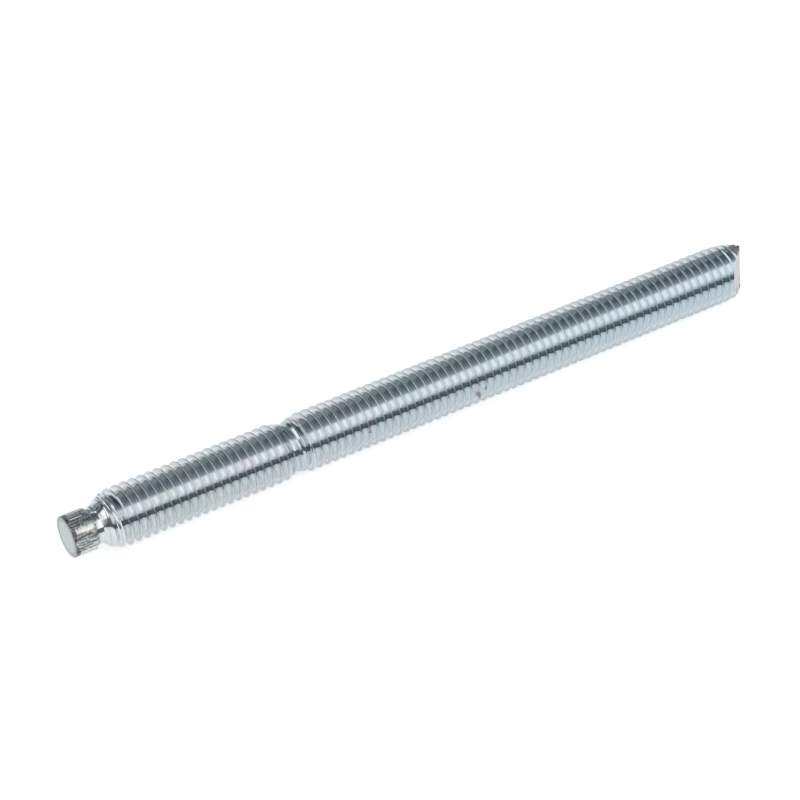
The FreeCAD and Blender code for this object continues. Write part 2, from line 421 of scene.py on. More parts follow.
@dataclass(frozen=True)
class ThreadedShank:
    """The neck, the cone, the rolled thread with its run-outs and the roof-shaped tip.

    Attributes:
        seam_width: How near to the middle of its crest a point belongs to the seam, in pitches.
        run_out_rounds: How many times a lowered shoulder's place and height are worked out from each other.
    """

    blank: Blank
    thread: ThreadForm
    steps_round: int = 72
    seam_width: float = 0.01
    run_out_rounds: int = 6

    @property
    def rolled_start(self) -> float:
        """Where the thread is cut off behind the cone."""
        return self.blank.rolled_start(self.thread.root_radius)

    def sweep(self) -> bpy.types.Object:
        """Sweep one pitch of the section into the whole thread at full height.

        Returns:
            The open helical surface, with the bar's axis on Y = Z = 0.
        """
        section = self.thread.section()
        first = self.thread.crest_on_top - self.thread.pitch
        past_tip = self.blank.tip + self.blank.radius / math.tan(self.blank.roof_angle)
        turns = math.ceil((past_tip - first) / self.thread.pitch) + 2
        start_afresh()
        bpy.ops.mesh.primitive_plane_add(size=MM)
        shank = bpy.context.object
        bpy.ops.object.mode_set(mode="EDIT")
        bpy.ops.mesh.merge(type="CENTER")
        bpy.ops.transform.translate(value=(first + section[0][0], 0, section[0][1]))
        for (along, radius), (next_along, next_radius) in zip(section, section[1:]):
            step = (next_along - along, 0, next_radius - radius)
            bpy.ops.mesh.extrude_vertices_move(TRANSFORM_OT_translate={"value": step})
        bpy.ops.object.mode_set(mode="OBJECT")
        screw = shank.modifiers.new("Thread", "SCREW")
        screw.axis = "X"
        screw.screw_offset = self.thread.pitch
        screw.iterations = turns
        screw.steps = screw.render_steps = self.steps_round
        screw.use_normal_flip = True
        bpy.ops.object.modifier_apply(modifier=screw.name)
        work_on(shank)
        bpy.ops.mesh.select_all(action="SELECT")
        bpy.ops.mesh.remove_doubles(threshold=NEAR)
        bpy.ops.object.mode_set(mode="OBJECT")
        return shank

    def run_out(self, shank: bpy.types.Object) -> None:
        """Lower the crests wherever the blank is thinner than the thread.

        A crest that isn't full is lower and wider: its two shoulders slide down the flanks, and the roots stay. The
        seam between the two lips that the dies push up stays open there.

        Args:
            shank: The swept thread, which is changed in place.
        """
        thread = self.thread
        verts = shank.data.vertices
        places = np.empty(len(verts) * 3)
        verts.foreach_get("co", places)
        places = places.reshape(-1, 3)
        along = places[:, 0]
        radius = np.hypot(places[:, 1], places[:, 2])
        angle = np.arctan2(places[:, 2], places[:, 1])
        turns = (along - thread.crest_on_top) / thread.pitch - (angle - math.pi / 2) / math.tau
        from_middle = (turns + 0.5) % 1 - 0.5
        seam = np.abs(from_middle) < self.seam_width
        side = np.where(seam, 0, np.sign(from_middle))
        raised = radius > thread.pitch_radius
        lean = math.tan(thread.flank_angle)
        flank_depth = thread.flank_depth
        drop = np.zeros(len(verts))
        for _ in range(self.run_out_rounds):
            slide = np.where(raised, side * np.minimum(drop, flank_depth) * lean, 0)
            drop = thread.crest_radius - self.blank.reach(along + slide)
        lowered = np.where(raised, radius - drop, np.minimum(radius, self.blank.reach(along)))
        opening = np.clip(np.minimum(drop, flank_depth - drop) / thread.open_seam_depth, 0, 1)
        lowered -= np.where(seam, opening * thread.open_seam_depth, 0)
        share = lowered / radius
        places = np.column_stack((along + slide, places[:, 1] * share, places[:, 2] * share))
        verts.foreach_set("co", places.ravel())

    def cut_start(self, shank: bpy.types.Object) -> None:
        """Cut the thread off square where it starts, and draw the cone and the neck out of the cut.

        Args:
            shank: The thread with its run-outs, which is changed in place.
        """
        blank = self.blank
        root = self.thread.root_radius
        work_on(shank)
        bpy.ops.mesh.select_all(action="SELECT")
        bpy.ops.mesh.bisect(plane_co=(self.rolled_start, 0, 0), plane_no=(1, 0, 0), clear_inner=True, threshold=NEAR)
        pick("EDGE", lambda edge: lies_at(edge, self.rolled_start) and len(edge.link_faces) == 1)
        self.round_off(root)
        neck_end = blank.neck_start + blank.neck_length
        extrude_to(neck_end, self.rolled_start, blank.neck_radius / root)
        extrude_to(blank.neck_start + blank.joint_gap, neck_end, 1)
        bpy.ops.object.mode_set(mode="OBJECT")

    def round_off(self, radius: float) -> None:
        """Move the selected points of the piece in edit mode to one distance from the bar's axis.

        Args:
            radius: The distance.
        """
        mesh = bpy.context.edit_object.data
        shape = bmesh.from_edit_mesh(mesh)
        for vert in shape.verts:
            if vert.select:
                share = radius / math.hypot(vert.co.y, vert.co.z)
                vert.co.y *= share
                vert.co.z *= share
        bmesh.update_edit_mesh(mesh)

    def cut_roof(self, shank: bpy.types.Object) -> None:
        """Cut the two slopes of the tip and close them.

        Args:
            shank: The shank, which is changed in place.
        """
        blank = self.blank
        work_on(shank)
        for quarter_turn in (math.pi / 2, -math.pi / 2):
            facing = blank.ridge_angle - quarter_turn
            across = Vector((0, math.cos(facing), math.sin(facing)))
            slope = Vector((math.sin(blank.roof_angle), 0, 0)) + across * math.cos(blank.roof_angle)
            bpy.ops.mesh.select_all(action="SELECT")
            bpy.ops.mesh.bisect(plane_co=(blank.tip, 0, 0), plane_no=slope, clear_outer=True, threshold=NEAR)
            self.close_slope(slope)
        bpy.ops.object.mode_set(mode="OBJECT")

    def close_slope(self, slope: Vector) -> None:
        """Fill the cut outline that lies in one of the tip's slopes, in edit mode, with a single face.

        Args:
            slope: The slope's outward normal. The slope passes through the middle of the ridge.
        """
        ridge = Vector((self.blank.tip, 0, 0))
        pick("EDGE", lambda edge: len(edge.link_faces) == 1 and all(
            abs((vert.co - ridge).dot(slope)) < 2 * NEAR for vert in edge.verts
        ))
        bpy.ops.mesh.edge_face_add()

    def build(self) -> bpy.types.Object:
        """Make the shank, open at the front of the neck.

        Returns:
            The piece, with the bar's axis on Y = Z = 0.
        """
        shank = self.sweep()
        self.run_out(shank)
        self.cut_start(shank)
        self.cut_roof(shank)
        return shank


def linear(colour: str) -> tuple[float, float, float, float]:
    """Turn an sRGB hex colour into the linear one that nodes take.

    Args:
        colour: Six hex digits, such as "c3cbd0".

    Returns:
        Linear red, green and blue, and an alpha of 1.
    """
    parts = [int(colour[place:place + 2], 16) / 255 for place in (0, 2, 4)]
    parts = [part / 12.92 if part <= 0.04045 else ((part + 0.055) / 1.055) ** 2.4 for part in parts]
    return (*parts, 1.0)


def add_node(tree: bpy.types.NodeTree, kind: str, settings: dict | None = None, **inputs: object) -> bpy.types.Node:
    """Add a node with its settings and its inputs.

    Args:
        tree: The node tree to add it to.
        kind: The node's type, without the ShaderNode that all of them start with.
        settings: Values for the node's own properties. Under "stops" a colour ramp has places from 0 to 1 with their
            hex colours, lowest first.
        inputs: For each input, by its name with underscores or as in_ and its number, a value to set, or the socket
            or node to link. A node is linked by its first output.

    Returns:
        The new node.
    """
    node = tree.nodes.new("ShaderNode" + kind)
    for name, value in (settings or {}).items():
        if name != "stops":
            setattr(node, name, value)
            continue
        elements = node.color_ramp.elements
        while len(elements) < len(value):
            elements.new(1.0)
        for element, (place, colour) in zip(elements, value):
            element.position = place
            element.color = linear(colour)
    for name, value in inputs.items():
        socket = node.inputs[int(name[3:])] if name.startswith("in_") else node.inputs[name.replace("_", " ")]
        if isinstance(value, bpy.types.Node):
            value = value.outputs[0]
        if isinstance(value, bpy.types.NodeSocket):
            tree.links.new(value, socket)
        else:
            socket.default_value = value
    return node


# What an input can be linked to.
Link = bpy.types.Node | bpy.types.NodeSocket
# Settings that many nodes share. A smooth MapRange is a mask, and NUMBERS is for a Mix of plain numbers.
SMOOTH = {"interpolation_type": "SMOOTHSTEP"}
MULTIPLY = {"operation": "MULTIPLY"}
MULTIPLY_ADD = {"operation": "MULTIPLY_ADD"}
SUBTRACT = {"operation": "SUBTRACT"}
ABSOLUTE = {"operation": "ABSOLUTE"}
MAXIMUM = {"operation": "MAXIMUM"}
TINT = {"blend_type": "MULTIPLY"}
NUMBERS = {"data_type": "FLOAT"}


def between(edge: tuple[float, float], at: float = 0.0, low: Link | float = 0.0, high: Link | float = 1.0) -> dict:
    """Give the inputs that take a value from a low level to a high one across an edge.

    Args:
        edge: Where the change starts and where it is full. The first may be the larger of the two.
        at: What the edge is measured from.
        low: The level before the edge.
        high: The level past it.

    Returns:
        The inputs of a MapRange by name.
    """
    return {"From_Min": at + edge[0], "From_Max": at + edge[1], "To_Min": low, "To_Max": high}


@dataclass(frozen=True)
class Mark:
    """A mark of handling or shop dirt on the plate, with its place in the frame and its size in millimetres."""

    place: tuple[float, float, float]
    size: float
    colour: str
    strength: float


MARKS = (
    # The brown stain and a dark speck low on the thread.
    Mark(place=(8.45, -4.88, 4.45), size=1.1, colour="8c6f66", strength=0.55),
    Mark(place=(-12.37, -4.66, 6.08), size=0.28, colour="3c4246", strength=0.9),
    # The dark dot and the smudge on the lower heel of the tip, and a dark brown patch at its apex.
    Mark(place=(64.5, -1.15, 1.15), size=0.8, colour="2b2724", strength=1.0),
    Mark(place=(62.4, -2.95, 2.6), size=1.0, colour="86766c", strength=0.4),
    Mark(place=(64.2, 0.3, 9.3), size=1.9, colour="6f655f", strength=0.8),
    # Specks on the drive face.
    Mark(place=(-65.0, -1.55, 2.77), size=0.22, colour="50585a", strength=0.8),
    Mark(place=(-65.0, -0.9, 3.1), size=0.18, colour="5c6466", strength=0.7),
    Mark(place=(-65.0, 0.6, 6.4), size=0.15, colour="6c7476", strength=0.6),
)


class Surface(Enum):
    """How a part of the stud's steel was formed before it was plated."""

    ROLLED = "rolled"
    SWAGED = "swaged"
    SHEARED = "sheared"


@dataclass(frozen=True)
class Places:
    """Where a point of the surface is, in millimetres from the middle of the bar's axis.

    Attributes:
        point: The place as a whole.
        along: How far along the bar it is.
        across: How far across the bar, level with the floor.
        height: How far above the axis.
        radius: How far from the axis.
        angle: The angle round the bar, in radians.
    """

    point: Link
    along: Link
    across: Link
    height: Link
    radius: Link
    angle: Link

    @classmethod
    def find(cls, tree: bpy.types.NodeTree) -> "Places":
        """Work the places out from the piece's Object coordinates.

        Args:
            tree: The material's nodes.

        Returns:
            The sockets and nodes that give them.
        """
        here = add_node(tree, "TexCoord").outputs["Object"]
        point = add_node(tree, "Mapping", Vector=here, Location=(0, 0, -AXIS_HEIGHT / MM), Scale=(1 / MM,) * 3)
        along, across, height = add_node(tree, "SeparateXYZ", Vector=point).outputs
        from_axis = add_node(tree, "CombineXYZ", Y=across, Z=height)
        radius = add_node(tree, "VectorMath", {"operation": "LENGTH"}, in_0=from_axis).outputs["Value"]
        angle = add_node(tree, "Math", {"operation": "ARCTAN2"}, in_0=height, in_1=across)
        return cls(point, along, across, height, radius, angle)


@dataclass(frozen=True)
class Layers:
    """What a finish gives the shader: its colour, its roughness and the height that its bump comes from."""

    colour: Link
    roughness: Link | float
    height: Link


@dataclass(frozen=True)
class ZincPlate(ABC):
    """Bright blue-white zinc electroplate, in the form that it takes on one kind of steel surface.

    The plate is about a hundredth of a millimetre thick and copies what is under it, so its tone and roughness are
    those that the forming left on the steel. Grain and scratches are really a few hundredths of a millimetre across,
    too fine to show, so they are drawn several times as coarse.

    Lengths are in millimetres, and a pair named as an edge is where a mask starts and where it is full. A turn is the
    size of a pattern round the bar, in radians.

    Attributes:
        streak_depth: The size of a streak away from the axis.
        dirt_metallic: How metallic the plate still looks under full dirt.
        mark_edge: The edge of a mark, in sizes of the mark.
        band_softness: How far the edges of a band spread, as a share of half its width.
    """

    surface: ClassVar[Surface]

    blank: Blank
    thread: ThreadForm
    plate: str = "edf1f2"
    metallic: float = 1.0
    grain_size: float = 0.35
    streak_depth: float = 2.0
    bump_strength: float = 0.12
    bump_depth: float = 0.02
    dirt_metallic: float = 0.1
    mark_edge: tuple[float, float] = (1.5, 0.9)
    band_softness: float = 0.3

    def streaks(self, tree: bpy.types.NodeTree, places: Places, along: float, turn: float) -> bpy.types.Node:
        """Add noise that is drawn out along the bar or round it.

        Args:
            tree: The material's nodes.
            places: Where each point is.
            along: The size of a streak along the bar.
            turn: Its size round the bar, in radians.

        Returns:
            The noise, most of it between 0.35 and 0.65.
        """
        spread = add_node(tree, "CombineXYZ", X=places.along, Y=places.angle, Z=places.radius)
        scale = (1 / along, 1 / turn, 1 / self.streak_depth)
        scaled = add_node(tree, "Mapping", Vector=spread, Scale=scale)
        return add_node(tree, "TexNoise", Vector=scaled, Scale=1.0, Detail=2.0)

    def grain(self, tree: bpy.types.NodeTree, places: Places) -> bpy.types.Node:
        """Add the noise of blotches and ragged edges."""
        return add_node(tree, "TexNoise", Vector=places.point, Scale=1 / self.grain_size, Detail=3.0)

    def in_band(self, tree: bpy.types.NodeTree, value: Link, start: float, end: float) -> bpy.types.Node:
        """Mask the places where a value lies between two ends, with soft edges.

        Args:
            tree: The material's nodes.
            value: The value.
            start: The lower end.
            end: The upper end.

        Returns:
            The mask.
        """
        middle, half = (start + end) / 2, (end - start) / 2
        off = add_node(tree, "Math", ABSOLUTE, in_0=add_node(tree, "Math", SUBTRACT, in_0=value, in_1=middle))
        soft = half * self.band_softness
        return add_node(tree, "MapRange", SMOOTH, Value=off, **between((soft, -soft), at=half))

    @abstractmethod
    def layers(self, tree: bpy.types.NodeTree, places: Places) -> Layers:
        """Add the nodes for what the forming of the steel gives the plate.

        Args:
            tree: The material's nodes.
            places: Where each point is.

        Returns:
            The finish without its marks and dirt.
        """

    def marked(self, tree: bpy.types.NodeTree, places: Places, colour: Link) -> tuple[Link, Link]:
        """Lay the marks of handling and dirt over a colour, each with a ragged edge.

        Args:
            tree: The material's nodes.
            places: Where each point is.
            colour: The finish's colour.

        Returns:
            The marked colour, and how much dirt lies at each point.
        """
        dirt = 0.0
        ragged = self.grain(tree, places)
        for mark in MARKS:
            centre = (mark.place[0], mark.place[1], mark.place[2] - AXIS_HEIGHT / MM)
            away = add_node(tree, "VectorMath", {"operation": "DISTANCE"}, in_0=places.point, in_1=centre)
            edge = add_node(tree, "Math", MULTIPLY_ADD, in_0=ragged, in_1=mark.size, in_2=away.outputs["Value"])
            start, full = (mark.size * part for part in self.mark_edge)
            share = add_node(tree, "MapRange", SMOOTH, Value=edge, **between((start, full), high=mark.strength))
            colour = add_node(tree, "MixRGB", Fac=share, Color1=colour, Color2=linear(mark.colour))
            dirt = add_node(tree, "Math", MAXIMUM, in_0=dirt, in_1=share)
        return colour, dirt

    def material(self) -> bpy.types.Material:
        """Make the finish's material.

        Returns:
            The new material, a bright metal that turns dull and dark only where dirt lies on it.
        """
        material = bpy.data.materials.new(f"bright zinc electroplate on {self.surface.value} steel")
        material.use_nodes = True
        tree = material.node_tree
        tree.nodes.clear()
        places = Places.find(tree)
        layers = self.layers(tree, places)
        colour, dirt = self.marked(tree, places, layers.colour)
        covered = (self.dirt_metallic - 1) * self.metallic
        shader = add_node(
            tree, "BsdfPrincipled",
            Base_Color=colour,
            Metallic=add_node(tree, "Math", MULTIPLY_ADD, in_0=dirt, in_1=covered, in_2=self.metallic),
            Roughness=add_node(tree, "Math", MAXIMUM, in_0=dirt, in_1=layers.roughness),
            Normal=add_node(
                tree, "Bump", Height=layers.height, Strength=self.bump_strength, Distance=self.bump_depth * MM
            ),
        )
        add_node(tree, "OutputMaterial", Surface=shader)
        return material


@dataclass(frozen=True)
class RolledPlate(ZincPlate):
    """Zinc plate on the rolled thread, the neck and the cone, the brightest of the stud's finishes.

    The dies burnish the flanks, which mirror the room with fine rings in them. The steel folds over at the crests, and
    the crease there is painted darker as shade, with bright laps beside it that are partly painted highlight lines.
    The roots are painted darker as the shade in each groove, and a band of each flank beside its crest is painted
    shade too.
    Round the depth mark and over the cone the steel was dragged along and is uneven; its dark streaks are partly
    painted reflection of the room's dark bands, so they are kept to the upper side of the bar. The clear passivation
    film gives faint green and pink tints, and a blue one that grows toward the tip.

    A band is where something starts and ends past the middle of its crest, in pitches, and a lap's band has the lap's
    strength as well.
    """

    surface = Surface.ROLLED

    green_tint: str = "e6edea"
    pink_tint: str = "eee9eb"
    blue_tint: str = "dfe9ef"
    tint_size: float = 6.0
    blue_edge: tuple[float, float] = (-60.0, 60.0)
    # The real rings are about 0.05 mm apart, too fine to show, so they are drawn four times as coarse.
    ring_spacing: float = 0.2
    ring_turn: float = 1.5
    ring_noise: tuple[float, float] = (0.35, 0.65)
    # How bright the plate stays along the rings, and between which places on the bar that changes.
    ring_fading: tuple[float, float] = (-30.0, 50.0)
    ring_at_start: float = 0.87
    ring_at_tip: float = 0.98
    # The drag's dark streaks are partly uneven steel and partly painted reflection of the room's dark bands, and
    # drag_height keeps them to the upper side of the bar.
    drag_line: str = "949ca0"
    drag_bright: str = "ffffff"
    drag_spacing: float = 0.3
    drag_turn: float = 0.9
    drag_bump: float = 1.6
    drag_by_mark: tuple[float, float] = (2.4, 1.8)
    drag_on_cone: tuple[float, float] = (-55.6, -57.2)
    drag_height: tuple[float, float] = (1.0, 3.0)
    # The drag is weaker round the mark than on the cone.
    drag_fading: tuple[float, float] = (-54.0, -30.0)
    drag_at_mark: float = 0.45
    flattened: str = "e8edef"
    flattened_by_mark: tuple[float, float] = (1.9, 1.5)
    thread_edge: tuple[float, float] = (0.025, 0.225)
    # Painted shade: the roots are darker, as the shade deep in each groove.
    root: str = "cdd3d6"
    root_edge: tuple[float, float] = (0.07, 0.04)
    flank_edge: tuple[float, float] = (0.07, 0.1)
    # Painted shade in the crease where the steel folds over at each crest.
    fold: str = "a6acaf"
    fold_edge: tuple[float, float] = (-0.045, -0.015)
    # Painted shade on a band of each flank beside its crest.
    flank_shade: str = "cdd3d6"
    flank_shade_band: tuple[float, float] = (-0.21, -0.085)
    # The laps are real, and their bright colour is partly a painted highlight line, strongest on the bar's upper side.
    lap: str = "edf4f7"
    lap_bands: tuple[tuple[float, float, float], ...] = (
        (-0.095, -0.035, 1.0), (0.045, 0.075, 0.8), (-0.46, -0.43, 0.45),
    )
    # The painted shade of the folds and the painted highlight of the laps follow how the light falls: they have their
    # full strength on the bar's upper side and are weak low on it.
    low_fold: float = 0.45
    low_fold_height: tuple[float, float] = (1.2, 2.0)
    low_lap: float = 0.15
    low_lap_height: tuple[float, float] = (3.2, 4.1)
    flank_roughness: float = 0.08
    fold_roughness: float = 0.28
    lap_roughness: float = 0.6

    def tinted(self, tree: bpy.types.NodeTree, places: Places) -> bpy.types.Node:
        """Give the plate's own colour, before the forming of the steel shows in it.

        Args:
            tree: The material's nodes.
            places: Where each point is.

        Returns:
            Tints a few millimetres across, bluer toward the tip.
        """
        stops = [(0.38, self.green_tint), (0.46, self.plate), (0.56, self.plate), (0.64, self.pink_tint)]
        patches = add_node(tree, "TexNoise", Vector=places.point, Scale=1 / self.tint_size, Detail=3.0)
        tints = add_node(tree, "ValToRGB", {"stops": stops}, Fac=patches)
        toward_tip = add_node(tree, "MapRange", SMOOTH, Value=places.along, **between(self.blue_edge))
        return add_node(tree, "MixRGB", Fac=toward_tip, Color1=tints, Color2=linear(self.blue_tint))

    def from_mark(self, tree: bpy.types.NodeTree, places: Places) -> bpy.types.Node:
        """Give how far a point is from the middle of the depth mark, along the bar."""
        past = add_node(tree, "Math", SUBTRACT, in_0=places.along, in_1=self.blank.mark_middle / MM)
        return add_node(tree, "Math", ABSOLUTE, in_0=past)

    def past_crest(self, tree: bpy.types.NodeTree, places: Places) -> bpy.types.Node:
        """Give how far each point lies past the middle of the nearest crest.

        Args:
            tree: The material's nodes.
            places: Where each point is.

        Returns:
            The distance in pitches, from -0.5 to 0.5.
        """
        # On top of the bar, a quarter of a turn from +Y, the middle of a crest comes to a half before the last step.
        pitch = self.thread.pitch
        turns = add_node(
            tree, "Math", MULTIPLY_ADD,
            in_0=places.along, in_1=MM / pitch, in_2=0.75 - self.thread.crest_on_top / pitch,
        )
        turned = add_node(tree, "Math", MULTIPLY_ADD, in_0=places.angle, in_1=-1 / math.tau, in_2=turns)
        share = add_node(tree, "Math", {"operation": "WRAP"}, in_0=turned, in_1=1.0, in_2=0.0)
        return add_node(tree, "Math", SUBTRACT, in_0=share, in_1=0.5)

    def dragged(self, tree: bpy.types.NodeTree, places: Places, from_mark: Link) -> bpy.types.Node:
        """Mask the uneven steel round the depth mark and over the cone, on the upper side of the bar only, since its
        dark streaks are partly painted reflection of the room's dark bands.

        Args:
            tree: The material's nodes.
            places: Where each point is.
            from_mark: How far each point is from the depth mark.

        Returns:
            How uneven the steel is, and how much painted reflection its streaks carry, from 0 to 1.
        """
        by_mark = add_node(tree, "MapRange", SMOOTH, Value=from_mark, **between(self.drag_by_mark))
        on_cone = add_node(tree, "MapRange", SMOOTH, Value=places.along, **between(self.drag_on_cone))
        either = add_node(tree, "Math", MAXIMUM, in_0=by_mark, in_1=on_cone)
        fading = between(self.drag_fading, low=1.0, high=self.drag_at_mark)
        level = add_node(tree, "MapRange", Value=places.along, **fading)
        levelled = add_node(tree, "Math", MULTIPLY, in_0=either, in_1=level)
        # Painted reflection: the streaks are kept to the upper side of the bar, where the room's dark bands show in
        # them.
        high_up = add_node(tree, "MapRange", SMOOTH, Value=places.height, **between(self.drag_height))
        return add_node(tree, "Math", MULTIPLY, in_0=levelled, in_1=high_up)

    def ringed(self, tree: bpy.types.NodeTree, places: Places, rings: Link) -> bpy.types.Node:
        """Darken the tinted plate along its fine rings.

        Args:
            tree: The material's nodes.
            places: Where each point is.
            rings: The noise that the rings come from.

        Returns:
            The colour, with rings that grow fainter toward the tip.
        """
        fading = between(self.ring_fading, low=self.ring_at_start, high=self.ring_at_tip)
        darkest = add_node(tree, "MapRange", Value=places.along, **fading)
        tone = add_node(tree, "MapRange", Value=rings, **between(self.ring_noise, low=darkest))
        return add_node(tree, "MixRGB", TINT, Fac=1.0, Color1=self.tinted(tree, places), Color2=tone)

    def folded(self, tree: bpy.types.NodeTree, places: Places, colour: Link, crest: Link) -> bpy.types.Node:
        """Lay the painted shade of the roots and of the fold along the crests over a colour.

        Args:
            tree: The material's nodes.
            places: Where each point is.
            colour: The colour under them.
            crest: The mask of the crests.

        Returns:
            The colour with the painted shade of its roots and folds.
        """
        # Painted shade deep in the roots.
        at_bottom = between(self.root_edge, at=self.thread.root_radius / MM)
        at_root = add_node(tree, "MapRange", SMOOTH, Value=places.radius, **at_bottom)
        root = add_node(tree, "Math", MULTIPLY, in_0=at_root, in_1=self.threaded(tree, places))
        colour = add_node(tree, "MixRGB", Fac=root, Color1=colour, Color2=linear(self.root))
        # Painted shade in the fold, full on the upper side of the bar and weaker low on it, as the light falls.
        strength = add_node(
            tree, "MapRange", SMOOTH, Value=places.height, **between(self.low_fold_height, low=self.low_fold)
        )
        fold = add_node(tree, "Math", MULTIPLY, in_0=crest, in_1=strength)
        return add_node(tree, "MixRGB", Fac=fold, Color1=colour, Color2=linear(self.fold))

    def threaded(self, tree: bpy.types.NodeTree, places: Places) -> bpy.types.Node:
        """Mask the bar from where the cone reaches the thread's root, and the thread starts."""
        start = self.blank.rolled_start(self.thread.root_radius) / MM
        return add_node(tree, "MapRange", SMOOTH, Value=places.along, **between(self.thread_edge, at=start))

    def lapped(self, tree: bpy.types.NodeTree, places: Places, under: Layers) -> Layers:
        """Lay the painted shade on each flank and the bright laps beside each crest, partly painted highlight, over a
        finish.

        Args:
            tree: The material's nodes.
            places: Where each point is.
            under: The finish under them.

        Returns:
            The finish with its laps, whose painted highlight is strongest on top of the bar.
        """
        past_crest = self.past_crest(tree, places)
        # Painted shade on a band of each flank beside its crest.
        flank_shade = self.in_band(tree, past_crest, *self.flank_shade_band)
        colour = add_node(tree, "MixRGB", Fac=flank_shade, Color1=under.colour, Color2=linear(self.flank_shade))
        roughness = under.roughness
        # Painted highlight: the laps are full on the upper side of the bar, where the light falls, and faint low on
        # it.
        strength = add_node(
            tree, "MapRange", SMOOTH, Value=places.height, **between(self.low_lap_height, low=self.low_lap)
        )
        raised = add_node(tree, "Math", MULTIPLY, in_0=self.threaded(tree, places), in_1=strength)
        for start, end, full in self.lap_bands:
            line = add_node(tree, "Math", MULTIPLY, in_0=raised, in_1=self.in_band(tree, past_crest, start, end))
            share = add_node(tree, "Math", MULTIPLY, in_0=line, in_1=full)
            colour = add_node(tree, "MixRGB", Fac=share, Color1=colour, Color2=linear(self.lap))
            roughness = add_node(tree, "Mix", NUMBERS, Factor=share, A=roughness, B=self.lap_roughness)
        return Layers(colour, roughness, under.height)

    def layers(self, tree: bpy.types.NodeTree, places: Places) -> Layers:
        """Add the rolled finish, from the tinted plate up to the laps.

        Args:
            tree: The material's nodes.
            places: Where each point is.

        Returns:
            The finish.
        """
        rings = self.streaks(tree, places, self.ring_spacing, self.ring_turn)
        drag = self.streaks(tree, places, self.drag_spacing, self.drag_turn)
        from_mark = self.from_mark(tree, places)
        dragged = self.dragged(tree, places, from_mark)
        ringed = self.ringed(tree, places, rings)
        stops = [(0.4, self.drag_line), (0.47, self.plate), (0.6, self.drag_bright)]
        lines = add_node(tree, "ValToRGB", {"stops": stops}, Fac=drag)
        lined = add_node(tree, "MixRGB", TINT, Fac=1.0, Color1=ringed, Color2=lines)
        colour = add_node(tree, "MixRGB", Fac=dragged, Color1=ringed, Color2=lined)
        bump = add_node(tree, "Math", MULTIPLY, in_0=dragged, in_1=self.drag_bump)
        height = add_node(tree, "Math", MULTIPLY_ADD, in_0=drag, in_1=bump, in_2=rings)

        near_top = between(self.fold_edge, at=self.thread.crest_radius / MM)
        crest = add_node(tree, "MapRange", SMOOTH, Value=places.radius, **near_top)
        colour = self.folded(tree, places, colour, crest)
        roughness = add_node(tree, "MapRange", Value=crest, To_Min=self.flank_roughness, To_Max=self.fold_roughness)

        off_bottom = between(self.flank_edge, at=self.thread.root_radius / MM)
        above_root = add_node(tree, "MapRange", SMOOTH, Value=places.radius, **off_bottom)
        by_mark = add_node(tree, "MapRange", SMOOTH, Value=from_mark, **between(self.flattened_by_mark))
        flattened = add_node(tree, "Math", MULTIPLY, in_0=above_root, in_1=by_mark)
        colour = add_node(tree, "MixRGB", TINT, Fac=flattened, Color1=colour, Color2=linear(self.flattened))
        return self.lapped(tree, places, Layers(colour, roughness, height))


